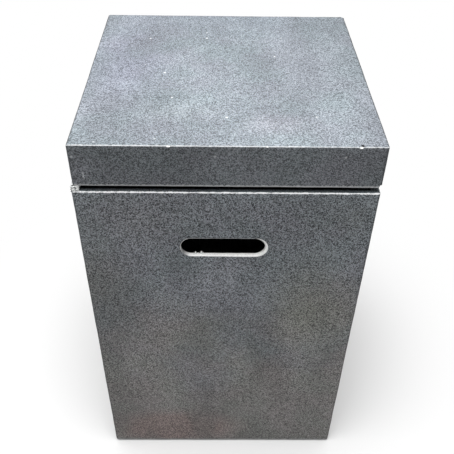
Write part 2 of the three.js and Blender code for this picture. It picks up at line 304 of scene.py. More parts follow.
class CoverHardwareSizes(bpy.types.PropertyGroup):
    """Sizes of the screws and the feet."""

    foot_thread: length("Foot thread", "Radius of the threaded stem of a foot", 0.004)
    foot_pitch: length("Foot pitch", "Pitch of the foot's thread", 0.00125)
    foot_thread_depth: length("Foot thread depth", "Depth of the foot's thread", 0.00062)
    foot_hexagon: length("Foot hexagon", "Width across the flats of the foot's hexagon", 0.014)
    foot_hexagon_height: length("Hexagon height", "Height of the foot's hexagon", 0.0035)
    foot_hexagon_edge: length("Hexagon edge", "Bevel of the hexagon's edges", 0.0005)
    foot_tail: length("Foot tail", "Depth of the stem in the foot's pad", 0.004)
    pad_shoulder: length("Pad shoulder", "Radius of the top of a foot's pad", 0.011)
    pad_rim: length("Pad rim", "Height of the pad's upright rim", 0.003)
    pad_land: length("Pad land", "Width of the flat bands outside a pad's grooves", 0.002)
    pad_groove: length("Pad groove", "Width of a groove in a pad's sole", 0.0015)
    pad_groove_depth: length("Groove depth", "Depth of a groove in a pad's sole", 0.0008)
    pad_edge: length("Pad edge", "Rounding of a pad's edges", 0.0005)
    screw_thread: length("Screw thread", "Radius of a guide screw's thread", 0.003)
    screw_pitch: length("Screw pitch", "Pitch of a guide screw's thread", 0.001)
    screw_thread_depth: length("Screw thread depth", "Depth of a guide screw's thread", 0.0005)
    screw_head: length("Screw head", "Height of a guide screw's head", 0.0036)
    screw_round: length("Head rounding", "Rounding of a guide screw's head", 0.0016)
    screw_socket: length("Screw socket", "Width across the flats of a guide screw's socket", 0.004)
    screw_socket_depth: length("Socket depth", "Depth of a guide screw's socket", 0.002)
    bumper_step: length("Bumper step", "Width of one face of a bumper", 0.0009)
    bumper_corner: length("Bumper corner", "Rounding of a bumper's upright corners", 0.0014)
    bumper_bulge: length("Bumper bulge", "How far a bumper is squeezed out on its inner side", 0.0014)
    crumb: length("Crumb", "Width of one crumb of the bumpers", 0.0015)
    crumb_relief: length("Crumb relief", "How far the crumbs stand in and out", 0.0018)


class CoverFinish(bpy.types.PropertyGroup):
    """Colours and grain of the finishes."""

    stone_cool: colour("Cool stone", "Bluish tone of the concrete", (0.159, 0.17, 0.184))
    stone_warm: colour("Warm stone", "Brownish tone of the concrete", (0.18, 0.1745, 0.17))
    # The top stone is the stone's tone with painted skylight: paler and bluer than the sides, as light falls
    # on the lid's top.
    top_stone_and_painted_skylight: colour("Top stone", "Tone of the lid's top, open to the sky", (0.264, 0.2925, 0.324))
    # The rim colour is painted shade: the lid's shadow on the body's rim, laid on as a dark tone.
    rim_painted_shade: colour("Rim", "Sealer that runs over the body's rim", (0.086, 0.099, 0.109))
    # The pore tone also paints shade along the castings' edges and beside their upright corners.
    pore_tone_and_painted_shade: colour("Pores", "Tone inside the concrete's pores", (0.03, 0.031, 0.034))
    # The pale edge colour is partly wear and partly a painted highlight on the edges that face the front.
    pale_wear_and_highlight: colour("Worn edge", "Pale cement that shows at worn edges", (0.88, 0.89, 0.9))
    raw: colour("Raw cement", "Cement of the slots' throats and of fresh chips", (0.96, 0.965, 0.955))
    inside: colour("Inside", "Dark sealer of the hollows", (0.1, 0.104, 0.11))
    crumb_pale: colour("Pale crumbs", "Pale grains of the bumpers", (0.93, 0.95, 0.94))
    crumb_dark: colour("Dark crumbs", "Dark grains of the bumpers", (0.06, 0.065, 0.07))
    nylon: colour("Nylon", "Black nylon of the lid's guides", (0.006, 0.0062, 0.007))
    rubber: colour("Rubber", "Black rubber of the edging and the pads", (0.013, 0.013, 0.014))
    zinc: colour("Zinc", "Zinc plating of the screws and stems", (0.55, 0.56, 0.58))
    brass: colour("Brass", "Brass of the inserts", (0.56, 0.4, 0.16))
    grain: length("Grain", "Width of one grain of the concrete", 0.0008)
    cloud: length("Cloud", "Width of one mottled cloud on the concrete", 0.07)


class CoverStudio(bpy.types.PropertyGroup):
    """The floor, the light and the camera."""

    floor_seen: colour("Floor", "Colour of the floor as the camera sees it", (0.9, 0.9, 0.9))
    floor_felt: colour("Floor bounce", "Colour of the floor as its bounced light has it", (0.6, 0.6, 0.6))
    floor_width: length("Floor width", "Width of the floor", 40.0)
    lamp_power: number("Lamp power", "Power of the overhead soft light in watts", 66.0)
    lamp_width: length("Lamp width", "Width of the overhead soft light", 2.0)
    lamp_place: bpy.props.FloatVectorProperty(
        name="Lamp place",
        description="Where the soft light hangs",
        default=(-0.15, -0.38, 2.5),
        subtype="XYZ",
    )
    white_from: length("White from", "Distance from the middle at which the floor starts to whiten", 0.24)
    white_at: length("White at", "Distance from the middle past which the floor is white", 0.65)
    fill_above: number("Fill above", "Strength of the soft light from straight above", 0.55)
    fill_aside: number("Fill aside", "Strength of the soft light from the horizon", 0.14)
    camera_place: bpy.props.FloatVectorProperty(
        name="Camera place",
        description="Where the camera stands",
        default=(-0.0108, -0.8279, 1.0684),
        subtype="XYZ",
    )
    camera_turn: bpy.props.FloatVectorProperty(
        name="Camera turn",
        description="How the camera is turned",
        default=(math.radians(49.206), math.radians(-0.806), math.radians(-0.415)),
        subtype="EULER",
    )
    camera_lens: bpy.props.FloatProperty(
        name="Lens", description="Focal length of the camera in millimetres", default=50.4, unit="CAMERA"
    )


# Modelling.


def clear_selection():
    """Leaves nothing selected, because an operator acts on all that is."""
    for item in bpy.context.view_layer.objects:
        item.select_set(False)


def take(piece):
    """Makes the piece the only selected and the active object."""
    clear_selection()
    piece.select_set(True)
    bpy.context.view_layer.objects.active = piece


def name_new(name, finish):
    """Names the primitive that was just added, puts its place into its mesh and gives it a finish."""
    piece = bpy.context.object
    piece.name = name
    piece.data.name = name
    bpy.ops.object.transform_apply(location=True, rotation=True, scale=True)
    piece.data.materials.append(finish)
    return piece


@contextmanager
def editing(piece, kind):
    """Edit mode with nothing selected, in VERT, EDGE or FACE mode."""
    take(piece)
    bpy.ops.object.mode_set(mode="EDIT")
    bpy.ops.mesh.select_mode(type=kind)
    bpy.ops.mesh.select_all(action="DESELECT")
    yield
    bpy.ops.object.mode_set(mode="OBJECT")


def pick(piece, kind, test):
    """Selects the vertices, edges or faces in edit mode for which the test holds."""
    shape = bmesh.from_edit_mesh(piece.data)
    items = {"VERT": shape.verts, "EDGE": shape.edges, "FACE": shape.faces}[kind]
    bpy.ops.mesh.select_all(action="DESELECT")
    for item in items:
        item.select_set(bool(test(item)))
    shape.select_flush_mode()
    bmesh.update_edit_mesh(piece.data)


def bevel_picked(width, steps):
    """Bevels the selected edges of the piece in edit mode."""
    bpy.ops.mesh.bevel(offset=width, offset_type="OFFSET", segments=steps, affect="EDGES")


def extrude_picked(move):
    """Extrudes the selected faces of the piece in edit mode by that move."""
    bpy.ops.mesh.extrude_region_move(TRANSFORM_OT_translate={"value": move})


def jitter(offset, seed):
    """Moves all points of the piece in edit mode about at random."""
    bpy.ops.mesh.select_all(action="SELECT")
    bpy.ops.transform.vertex_random(offset=offset, seed=seed)


def runs_along(edge, axis):
    """Whether an edge lies along the axis with that number."""
    step = edge.verts[1].co - edge.verts[0].co
    return abs(step[axis]) > PARALLEL * step.length


def at_height(edge, height):
    """Whether both ends of an edge lie at that height."""
    return all(abs(vert.co.z - height) < SAME_PLACE for vert in edge.verts)


def add_block(name, low, high, finish):
    """A block between two corners."""
    low, high = Vector(low), Vector(high)
    clear_selection()
    bpy.ops.mesh.primitive_cube_add(size=1, location=(low + high) / 2)
    bpy.context.object.scale = high - low
    return name_new(name, finish)


def add_rod(name, radius, centre, low, high, finish, sides=48, axis="Z"):
    """A round or many-sided bar round a centre, from low to high along the Z or the Y axis."""
    across, other = centre
    low, high = (Vector((across, end, other) if axis == "Y" else (across, other, end)) for end in (low, high))
    clear_selection()
    bpy.ops.mesh.primitive_cylinder_add(
        vertices=sides,
        radius=radius,
        depth=(high - low).length,
        location=(low + high) / 2,
        rotation=(math.pi / 2 if axis == "Y" else 0, 0, 0),
    )
    return name_new(name, finish)


def divide(piece, step):
    """Divides a block's faces into a grid with about that step."""
    low, high = Vector(piece.bound_box[0]), Vector(piece.bound_box[6])
    with editing(piece, "EDGE"):
        for axis in range(3):
            pick(piece, "EDGE", lambda edge, axis=axis: runs_along(edge, axis))
            cuts = round((high[axis] - low[axis]) / step) - 1
            if cuts > 0:
                bpy.ops.mesh.subdivide(number_cuts=cuts)


def round_uprights(piece, radii, steps):
    """Rounds a block's upright corners, or cuts them off where steps is 1."""
    low, high = Vector(piece.bound_box[0]), Vector(piece.bound_box[6])
    if not isinstance(radii, dict):
        radii = dict.fromkeys(CORNERS, radii)
    with editing(piece, "EDGE"):
        for name, radius in radii.items():
            x, y = ((low, high)[side > 0][axis] for axis, side in enumerate(CORNERS[name]))

            def at_corner(edge, x=x, y=y):
                ends = (vert.co for vert in edge.verts)
                return all(abs(end.x - x) < SAME_PLACE and abs(end.y - y) < SAME_PLACE for end in ends)

            pick(piece, "EDGE", at_corner)
            bevel_picked(radius, steps)


def round_outline(piece, radius, heights, steps):
    """Rounds the outer edges that lie at the given heights."""
    with editing(piece, "EDGE"):

        def at_outline(edge):
            on_side = any(abs(face.normal.z) < 0.5 for face in edge.link_faces)
            return on_side and any(at_height(edge, height) for height in heights)

        pick(piece, "EDGE", at_outline)
        bevel_picked(radius, steps)


def apply_modifier(piece, kind, **settings):
    """Adds a modifier with these settings and applies it."""
    take(piece)
    modifier = piece.modifiers.new(kind.lower(), kind)
    for key, value in settings.items():
        setattr(modifier, key, value)
    bpy.ops.object.modifier_apply(modifier=modifier.name)


def round_edges(piece, width, angle):
    """Rounds the edges that turn more than the angle, in degrees."""
    limit = {"limit_method": "ANGLE", "angle_limit": math.radians(angle)}
    apply_modifier(piece, "BEVEL", width=width, segments=3, **limit)


def combine(piece, other, operation="DIFFERENCE"):
    """Cuts the other solid from the piece, or adds it. Its faces keep their own finish."""
    settings = {"operation": operation, "solver": "MANIFOLD", "material_mode": "TRANSFER"}
    apply_modifier(piece, "BOOLEAN", object=other, **settings)
    bpy.data.objects.remove(other)


def cut_block(piece, name, low, high, finish, corner=None, steps=5):
    """Cuts a block from the piece, with its upright corners rounded, or cut off where steps is 1."""
    block = add_block(name, low, high, finish)
    if corner is not None:
        round_uprights(block, corner, steps)
    combine(piece, block)


def roughen(piece, height, width):
    """Moves a piece's faces in and out by soft noise of that height and width."""
    pattern = bpy.data.textures.new(piece.name, "CLOUDS")
    pattern.noise_scale = width
    pattern.noise_depth = 2
    apply_modifier(
        piece, "DISPLACE", texture=pattern, texture_coords="LOCAL", strength=height, mid_level=0.5
    )


def smooth(piece, angle=30):
    """Shades smoothly over edges that turn less than the angle, in degrees."""
    take(piece)
    bpy.ops.object.shade_smooth_by_angle(angle=math.radians(angle))


def copy_to(piece, name, move=(0, 0, 0), turn=0.0):
    """A copy with its own mesh, turned about the Z axis through the origin and then moved."""
    take(piece)
    bpy.ops.object.duplicate(linked=False)
    made = bpy.context.object
    made.name = name
    made.data.name = name
    made.rotation_euler = (0, 0, turn)
    made.location = move
    bpy.ops.object.transform_apply(location=True, rotation=True, scale=True)
    return made


def join(pieces, name):
    """Joins several pieces into one."""
    clear_selection()
    for piece in pieces:
        piece.select_set(True)
    bpy.context.view_layer.objects.active = pieces[0]
    bpy.ops.object.join()
    pieces[0].name = name
    return pieces[0]


def measure(node):
    """The lowest corner, the highest corner and the middle of a CAD node."""
    low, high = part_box(node)
    return low, high, (low + high) / 2


def settle(piece, body, node):
    """Lets the finished piece stand for its CAD node and ride on the node's body."""
    if not piece.data.polygons:
        raise RuntimeError(f"{piece.name} has no faces left")
    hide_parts(node)
    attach(piece, body)


def dress(node, finish):
    """Gives a CAD node that keeps its shape a finish."""
    materials = frame["nodes"][node].data.materials
    materials.clear()
    materials.append(finish)


# Finishes.


def link(value, socket):
    """Leads a value into a socket."""
    socket.id_data.links.new(value, socket)


def put(kind, inputs, tree=None, **settings):
    """Adds a node with these settings to its inputs' tree, and links or sets the inputs."""
    linked = {key: value for key, value in inputs.items() if isinstance(value, bpy.types.NodeSocket)}
    tree = tree or next(iter(linked.values())).id_data
    node = tree.nodes.new(kind)
    for key, value in settings.items():
        setattr(node, key, value)
    for key, value in inputs.items():
        if key in linked:
            link(value, node.inputs[key])
        else:
            node.inputs[key].default_value = value
    return node


def sums(operation, first, second=0.0, third=0.0, clamp=False):
    """The result of one step of arithmetic on numbers."""
    inputs = {0: first, 1: second, 2: third}
    return put("ShaderNodeMath", inputs, operation=operation, use_clamp=clamp).outputs[0]


def times(first, second, plus=None, clamp=False):
    """One number times another, and plus a third where it is given."""
    if plus is None:
        return sums("MULTIPLY", first, second, clamp=clamp)
    return sums("MULTIPLY_ADD", first, second, plus, clamp)


def larger(first, second):
    """The larger of two numbers."""
    return sums("MAXIMUM", first, second)


def moves(operation, first, second=(0, 0, 0)):
    """The result of one step of arithmetic on places or colours."""
    return put("ShaderNodeVectorMath", {0: first, 1: second}, operation=operation).outputs[0]


def multiply(value, factor):
    """Multiplies a colour or a place by a number."""
    return put("ShaderNodeVectorMath", {0: value, "Scale": factor}, operation="SCALE").outputs[0]


def split(place):
    """How far a place lies along each axis."""
    return put("ShaderNodeSeparateXYZ", {0: place}).outputs


def from_origin(place):
    """How far a place is from the origin."""
    return put("ShaderNodeVectorMath", {0: place}, operation="LENGTH").outputs["Value"]


def stretch(place, scale):
    """Scales places along each axis, which draws a pattern out where the scale is small."""
    return put("ShaderNodeMapping", {"Vector": place, "Scale": scale}).outputs[0]


def spread(value, low, high, to_low=0.0, to_high=1.0):
    """Maps a number smoothly from one range to another, and holds it there."""
    inputs = {"Value": value, "From Min": low, "From Max": high, "To Min": to_low, "To Max": to_high}
    return put("ShaderNodeMapRange", inputs, interpolation_type="SMOOTHSTEP").outputs[0]


def swing(pattern, low, high, reach=0.2):
    """Goes from low to high as soft noise swings by the reach about its middle."""
    return spread(pattern, 0.5 - reach, 0.5 + reach, low, high)


def blend_colours(share, first, second):
    """Goes from the first colour to the second by the share."""
    inputs = {0: share, 6: first, 7: second}
    for key in (6, 7):
        if not isinstance(inputs[key], bpy.types.NodeSocket):
            inputs[key] = (*inputs[key], 1)
    return put("ShaderNodeMix", inputs, data_type="RGBA").outputs[2]


def noise(place, width, detail=2.0, roughness=0.5):
    """Soft noise whose patches are about that wide."""
    inputs = {"Vector": place, "Scale": 1 / width, "Detail": detail, "Roughness": roughness}
    return put("ShaderNodeTexNoise", inputs).outputs[0]


def jostle(place, width):
    """Moves places about by soft noise, so that grains lose their straight borders."""
    node = put("ShaderNodeTexNoise", {"Vector": place, "Scale": 1 / width, "Detail": 2.0})
    return moves("ADD", place, multiply(node.outputs["Color"], width))


def cells(place, width):
    """Grains about that wide: the distance from each grain's middle, and its random number."""
    node = put("ShaderNodeTexVoronoi", {"Vector": place, "Scale": 1 / width})
    parts = put("ShaderNodeSeparateColor", {"Color": node.outputs["Color"]})
    return node.outputs["Distance"], parts.outputs[0]


def scattered(place, width, rarity, least, most):
    """1 on round marks in the cells whose random number is over the rarity, wider as it rises."""
    distance, kind = cells(place, width)
    room = spread(kind, rarity, 1.0, least, most)
    return spread(sums("SUBTRACT", room, distance), -0.01, 0.03)


def new_finish(name, roughness=0.8, metallic=0.0, specular=0.5):
    """A material, its shader and the place on the object that patterns follow."""
    material = bpy.data.materials.new(name)
    material.use_nodes = True
    shader = material.node_tree.nodes["Principled BSDF"]
    shader.inputs["Roughness"].default_value = roughness
    shader.inputs["Metallic"].default_value = metallic
    shader.inputs["Specular IOR Level"].default_value = specular
    place = put("ShaderNodeTexCoord", {}, material.node_tree).outputs["Object"]
    return material, shader, place


def lay_finish(shader, tone, relief, depth, roughness=None):
    """Gives the shader its tone, its relief to that depth and, where it varies, its roughness."""
    bump = put("ShaderNodeBump", {"Height": relief, "Distance": depth, "Strength": 1.0})
    link(tone, shader.inputs["Base Color"])
    link(bump.outputs[0], shader.inputs["Normal"])
    if roughness is not None:
        link(roughness, shader.inputs["Roughness"])


def by_height(near_top, values):
    """The first of two values at the top, and the second at the foot."""
    top, foot = values
    return times(near_top, top - foot, foot)


def edge_distances(place, look, near_top):
    """How far a point on a casting is from its front, its other level and its upright edges."""
    middle, half = (look.low + look.high) / 2, (look.high - look.low) / 2
    from_middle = moves("SUBTRACT", place, middle)
    across, along, up = split(moves("SUBTRACT", half, moves("ABSOLUTE", from_middle)))
    behind = sums("ADD", split(from_middle)[1], half.y)
    below = times(up, by_height(near_top, (look.steep, 1.0)))
    beside = larger(across, below)
    level = sums("MINIMUM", beside, larger(along, below))
    return larger(behind, below), level, larger(across, along)


def within(distance, reach, strength=1.0):
    """The strength where the distance is less than the reach, with a soft border."""
    return spread(sums("SUBTRACT", reach, distance), 0.0, WEAR_BORDER, 0.0, strength)


def slot_distance(place):
    """How far a point on the front or rear face is from the outline of its hand slot."""
    sizes = bpy.context.scene.cover_openings
    across, _, up = split(place)
    from_middle = sums("ABSOLUTE", sums("SUBTRACT", across, sizes.slot_offset))
    straight = (sizes.slot_length - sizes.slot_height) / 2
    past = larger(sums("SUBTRACT", from_middle, straight), 0.0)
    rise = sums("SUBTRACT", up, BODY_HIGH.z - sizes.slot_drop)
    squares = times(past, past, times(rise, rise))
    away = sums("SUBTRACT", sums("SQRT", squares), sizes.slot_height / 2)
    return sums("ABSOLUTE", away)


def spot(place, centre, radii):
    """1 in the middle of a soft oval patch and 0 outside it."""
    move = [-middle / radius for middle, radius in zip(centre, radii)]
    inputs = {"Vector": place, "Location": move, "Scale": [1 / radius for radius in radii]}
    local = put("ShaderNodeMapping", inputs).outputs[0]
    return spread(from_origin(local), 1.0, 0.0)


def lay_spots(tone, place, spots, torn=1.0):
    """Lays soft oval spots over a tone."""
    for spot_tone, share, centre, radii in spots:
        patch = times(spot(place, centre, radii), share)
        tone = blend_colours(times(patch, torn, clamp=True), tone, spot_tone)
    return tone


def stone_tone(place, look, top_tone_and_painted_light, facing_up):
    """The stone's mottled tone: warm low down and at the sides, and on top painted shade of the lid on the
    body's rim and painted skylight on the lid's top.
    """
    tones = bpy.context.scene.cover_finish
    across, _, up = split(place)
    clouds = noise(stretch(place, CLOUD_STRETCH), tones.cloud)
    drift = noise(place, tones.cloud * 2.3, detail=3)
    warmth = times(sums("ABSOLUTE", across), WARMER_ASIDE, WARM_START)
    warmth = times(up, WARMER_UPWARDS, warmth)
    warmth = spread(times(drift, WARMER_BY_DRIFT, warmth), 0.5, 1.2)
    tone = blend_colours(warmth, tones.stone_cool, tones.stone_warm)
    # On top the tone turns to the painted light: the lid's shade on the body's rim, skylight on the lid's
    # top.
    tone = blend_colours(facing_up, multiply(tone, look.depth), top_tone_and_painted_light)
    violet, green = (moves("MULTIPLY", tone, tint) for tint in (VIOLET_TINT, GREEN_TINT))
    hue = swing(noise(place, tones.cloud), 0.0, 1.0, reach=0.15)
    tone = blend_colours(hue, violet, green)
    tone = lay_spots(tone, place, look.patches, spread(clouds, 0.3, 0.55, 0.4, 1.0))
    return multiply(tone, swing(clouds, 0.84, 1.16, reach=0.25))


def stone_grain(place, look, facing_up):
    """How much the grain brightens or darkens the stone, and the distance from a grain's middle."""
    grain = bpy.context.scene.cover_finish.grain
    distance, kind = cells(jostle(place, grain), grain)
    even = noise(place, grain * 1.8, detail=0)
    speckle = times(even, EVEN_SHARE, times(kind, KIND_SHARE))
    contrast = spread(split(place)[2], look.low.z, look.high.z, look.grain[1], look.grain[0])
    contrast = times(contrast, times(facing_up, GRAIN_MORE_ON_TOP, 1.0))
    offset = spread(speckle, *SPECKLE_RANGE, -GRAIN_SWING, GRAIN_SWING)
    return larger(times(offset, contrast, 1.0), GRAIN_LEAST), distance


def wear_stone(tone, place, look, facing_up, fleck):
    """Lays pale cement over worn edges and flecks, partly as painted highlight, and painted shade along the
    level edges and beside the upright corners.
    """
    tones = bpy.context.scene.cover_finish
    middle = (look.low.z + look.high.z) / 2
    near_top = spread(split(place)[2], middle - HALFWAY, middle + HALFWAY)
    front, level, upright = edge_distances(place, look, near_top)
    ragged = noise(place, tones.grain * 5.5, detail=3, roughness=0.7)
    tearing = swing(ragged, 0.7, 1.3, reach=0.15)
    reach = times(by_height(near_top, look.reach), tearing)
    # Pale front edges: partly wear, partly painted highlight where the light catches them.
    front_wear_and_highlight = within(front, reach)
    worn = larger(front_wear_and_highlight, within(level, reach, OTHER_WEAR))
    worn = times(worn, by_height(near_top, look.pale))
    slot_reach = times(tearing, SLOT_WEAR)
    # The pale line round a hand slot is partly wear and partly painted highlight.
    slot_wear_and_highlight = within(slot_distance(place), slot_reach, SLOT_WEAR_SHARE)
    worn = larger(worn, slot_wear_and_highlight)
    fleck_share = times(facing_up, FLECK_MORE_ON_TOP, FLECK_SHARE)
    worn = larger(worn, times(fleck, fleck_share))
    tone = blend_colours(worn, tone, tones.pale_wear_and_highlight)

    # Painted shade along the level edges, strongest on the lid's top and the body's foot, and beside the
    # upright corners.
    painted_edge_shade = within(level, times(tearing, EDGE_SHADE_REACH))
    painted_edge_shade = times(painted_edge_shade, by_height(near_top, look.dark))
    painted_edge_shade = larger(painted_edge_shade, spread(upright, *CORNER_SHADE, 0.0, CORNER_SHADE_SHARE))
    not_worn = times(times(near_top, front_wear_and_highlight), -1.0, 1.0)
    return blend_colours(times(painted_edge_shade, not_worn), tone, tones.pore_tone_and_painted_shade)


def stone_finish(name, look, top_tone_and_painted_light):
    """Fine-grained cast concrete: mottled, speckled, with painted light on top, and worn at its edges, with
    painted highlight and painted shade there.
    """
    tones = bpy.context.scene.cover_finish
    material, shader, place = new_finish(name, specular=0.3)
    facing_up = spread(split(place.node.outputs["Normal"])[2], 0.5, 0.9)
    strength, grain_distance = stone_grain(place, look, facing_up)
    pore = scattered(place, tones.grain * 10, 0.5, 0.0, 0.1)
    fleck = scattered(place, tones.grain * 18, 0.9, 0.03, 0.14)
    tone = multiply(stone_tone(place, look, top_tone_and_painted_light, facing_up), strength)
    tone = blend_colours(times(pore, PORE_SHARE), tone, tones.pore_tone_and_painted_shade)
    tone = wear_stone(tone, place, look, facing_up, fleck)
    tone = lay_spots(tone, place, look.flecks)

    fine = noise(place, tones.grain * 0.8, roughness=0.7)
    pitted = noise(place, tones.grain * 2.4, detail=3, roughness=0.7)
    pitted = times(pore, -1.0, pitted)
    relief = times(grain_distance, -0.4, pitted)
    lay_finish(shader, tone, relief, STONE_RELIEF, swing(fine, 0.78, 0.92))
    return material


def raw_finish(name):
    """Pale broken or cut cement, with fine grain, and shade painted on the left end of the front slot's
    throat.
    """
    tones = bpy.context.scene.cover_finish
    material, shader, place = new_finish(name, roughness=0.9, specular=0.25)
    fine = noise(place, tones.grain * 1.1, detail=3, roughness=0.7)
    tone = multiply(tuple(tones.raw), swing(fine, 0.75, 1.08))
    lay_finish(shader, lay_spots(tone, place, RAW_PAINTED_SHADE), fine, RAW_RELIEF)
    return material


def inside_finish(name):
    """Dark sealer, brushed over the hollows' rough cement."""
    tones = bpy.context.scene.cover_finish
    material, shader, place = new_finish(name, roughness=0.85, specular=0.25)
    brushed = noise(stretch(place, (1, 1, 0.12)), tones.grain * 4, detail=3)
    tone = multiply(tuple(tones.inside), swing(brushed, 0.6, 1.5))
    rough = noise(place, tones.grain * 2.8, detail=4, roughness=0.7)
    lay_finish(shader, tone, rough, INSIDE_RELIEF)
    return material


def crumb_finish(name):
    """Granulated rubber: pale and dark crumbs pressed together."""
    tones, crumb = bpy.context.scene.cover_finish, bpy.context.scene.cover_hardware.crumb
    material, shader, place = new_finish(name, roughness=0.9, specular=0.3)
    distance, kind = cells(place, crumb)
    mottle = noise(place, crumb, detail=3, roughness=0.7)
    share = times(kind, 0.7, times(mottle, 0.6))
    tone = blend_colours(spread(share, 0.76, 0.84), tones.crumb_pale, tones.crumb_dark)
    lay_finish(shader, tone, times(distance, -1.0), crumb / 2)
    return material


def moulded_finish(name, base, roughness, depth):
    """Moulded nylon or rubber with a faint texture and a little dust."""
    material, shader, place = new_finish(name, specular=0.1)
    texture = noise(place, MOULD_TEXTURE, detail=3, roughness=0.6)
    dust = noise(place, DUST_PATCH, detail=4, roughness=0.65)
    dusty = [channel + 0.006 for channel in base]
    tone = blend_colours(spread(dust, 0.45, 0.75), base, dusty)
    rough = swing(dust, roughness - 0.06, roughness + 0.08)
    lay_finish(shader, tone, texture, depth, rough)
    return material


def metal_finish(name, base, roughness):
    """Plated or turned metal, a little uneven."""
    material, shader, place = new_finish(name, metallic=1.0)
    cloud = noise(place, METAL_CLOUD, detail=3)
    tone = multiply(tuple(base), swing(cloud, 0.8, 1.08))
    rough = swing(cloud, roughness, roughness + 0.18)
    lay_finish(shader, tone, noise(place, METAL_GRAIN), METAL_RELIEF, rough)
    return material


def finish_named(name):
    """One of the finishes, made when it is first asked for."""
    tones = bpy.context.scene.cover_finish
    makers = {
        "body_stone": (stone_finish, BODY_LOOK, tones.rim_painted_shade),
        "lid_stone": (stone_finish, LID_LOOK, tones.top_stone_and_painted_skylight),
        "raw_cement": (raw_finish,),
        "sealed_inside": (inside_finish,),
        "pressed_crumbs": (crumb_finish,),
        "moulded_nylon": (moulded_finish, tones.nylon, 0.6, NYLON_RELIEF),
        "moulded_rubber": (moulded_finish, tones.rubber, 0.72, RUBBER_RELIEF),
        "zinc_plating": (metal_finish, tones.zinc, 0.28),
        "turned_brass": (metal_finish, tones.brass, 0.3),
    }
    maker, *values = makers[name]
    return bpy.data.materials.get(name) or maker(name, *values)


# The cast pieces.


def add_chip(name, point, out, radii, depth, seed, finish):
    """A lumpy solid that breaks into the stone at a point, to that depth."""
    clear_selection()
    bpy.ops.mesh.primitive_ico_sphere_add(subdivisions=3, radius=1)
    bpy.context.object.scale = radii
    chip = name_new(name, finish)
    lean = min(radii)
    with editing(chip, "VERT"):
        jitter(lean * LUMPINESS, seed)
        bpy.ops.transform.translate(value=point + out.normalized() * (lean - depth))
    return chip


def add_edge_chips(name, low, high, chips, seed, count):
    """Lumpy solids along a box's edges, which are cut from it to leave chips, some of them at random."""
    draws = random.Random(seed)
    chips = list(chips)
    for _ in range(count):
        along = draws.choice((0, 1, 2))
        sides = (draws.choice((0, 1)), draws.choice((0, 1)))
        spans = (CHIP_SHARES, CHIP_REACHES, CHIP_DEPTHS)
        chips.append((along, sides, *(draws.uniform(*span) for span in spans)))
    made = []
    for index, (along, sides, share, reach, depth) in enumerate(chips):
        others = [axis for axis in range(3) if axis != along]
        point, out, radii = Vector(), Vector(), Vector([max(reach / 2, CHIP_LEAST)] * 3)
        point[along] = low[along] + share * (high[along] - low[along])
        radii[along] = reach
        for axis, side in zip(others, sides):
            point[axis] = (low, high)[side][axis]
            out[axis] = (-1, 1)[side]
        finish = finish_named("raw_cement")
        made.append(add_chip(f"{name}_{index}", point, out, radii, depth, seed + index, finish))
    return join(made, name)


def cast_block(name, low, high, corner, finish):
    """A finely divided block with rounded corners and edges and slightly wavy faces."""
    sizes = bpy.context.scene.cover_shells
    block = add_block(name, low, high, finish)
    divide(block, sizes.mesh_step)
    round_uprights(block, corner, steps=4)
    round_outline(block, sizes.edge, (low[2], high[2]), steps=3)
    roughen(block, sizes.wave, sizes.wave_size)
    roughen(block, sizes.wave * FINE_WAVE_HEIGHT, sizes.wave_size * FINE_WAVE_WIDTH)
    return block


def add_slot_cutter():
    """A long round-ended bar through both walls, which widens at each face of a wall."""
    sizes, wall = bpy.context.scene.cover_openings, bpy.context.scene.cover_shells.wall
    height = BODY_HIGH.z - sizes.slot_drop
    outer, inner, flare = sizes.slot_edge, sizes.slot_inner_edge, sizes.slot_flare
    turns = [math.pi / 2 * step / 4 for step in range(5)]
    curve = [(1 - math.sin(turn), 1 - math.cos(turn)) for turn in turns]
    near = [(-OVERRUN, outer, flare)]
    near += [(outer * depth, outer * growth, flare * growth) for depth, growth in reversed(curve)]
    near += [(wall - inner * depth, inner * growth, 0.0) for depth, growth in curve]
    stations = [(BODY_LOW.y + depth, growth, extra) for depth, growth, extra in near]
    stations += [(BODY_HIGH.y - depth, growth, extra) for depth, growth, extra in reversed(near)]
    throat_length, radius = sizes.slot_length - flare, sizes.slot_height / 2
    middle, place = sizes.slot_offset - flare / 2, stations[0][0]
    raw = finish_named("raw_cement")
    cutter = add_rod("slot_cutter", radius, (middle, height), place - OVERRUN, place, raw, sides=64, axis="Y")
    with editing(cutter, "VERT"):
        for side in (-1, 1):
            pick(cutter, "VERT", lambda vert, side=side: side * (vert.co.x - middle) > radius / 1000)
            bpy.ops.transform.translate(value=(side * (throat_length / 2 - radius), 0, 0))
    across, up = throat_length, sizes.slot_height
    with editing(cutter, "FACE"):
        pick(cutter, "FACE", lambda face: face.normal.y > FACING)
        for index, (next_place, growth, extra) in enumerate(stations):
            next_across = throat_length + 2 * growth + extra
            next_up = sizes.slot_height + 2 * growth
            next_middle = sizes.slot_offset - (flare - extra) / 2
            if index:
                extrude_picked((0, next_place - place, 0))
            bpy.ops.transform.translate(value=(next_middle - middle, 0, 0))
            grow, about = (next_across / across, 1, next_up / up), (next_middle, next_place, height)
            bpy.ops.transform.resize(value=grow, center_override=about)
            place, middle, across, up = next_place, next_middle, next_across, next_up
    return cutter


def cut_arch(piece, margin, near, far, finish):
    """Cuts the hose port's outline, moved outwards by the margin, between two depths."""
    sizes = bpy.context.scene.cover_openings
    radius = sizes.port_width / 2 + margin
    springing = BODY_LOW.z + sizes.port_height - sizes.port_width / 2
    foot = BODY_LOW.z - OVERRUN
    cut_block(piece, "port_cutter", (-radius, near, foot), (radius, far, springing), finish)
    combine(piece, add_rod("port_cutter", radius, (0, springing), near, far, finish, sides=96, axis="Y"))


def cut_hole(piece, radius, centre, low, high):
    """Cuts a round upright hole between two heights."""
    combine(piece, add_rod("hole_cutter", radius, centre.xy, low, high, finish_named("raw_cement")))


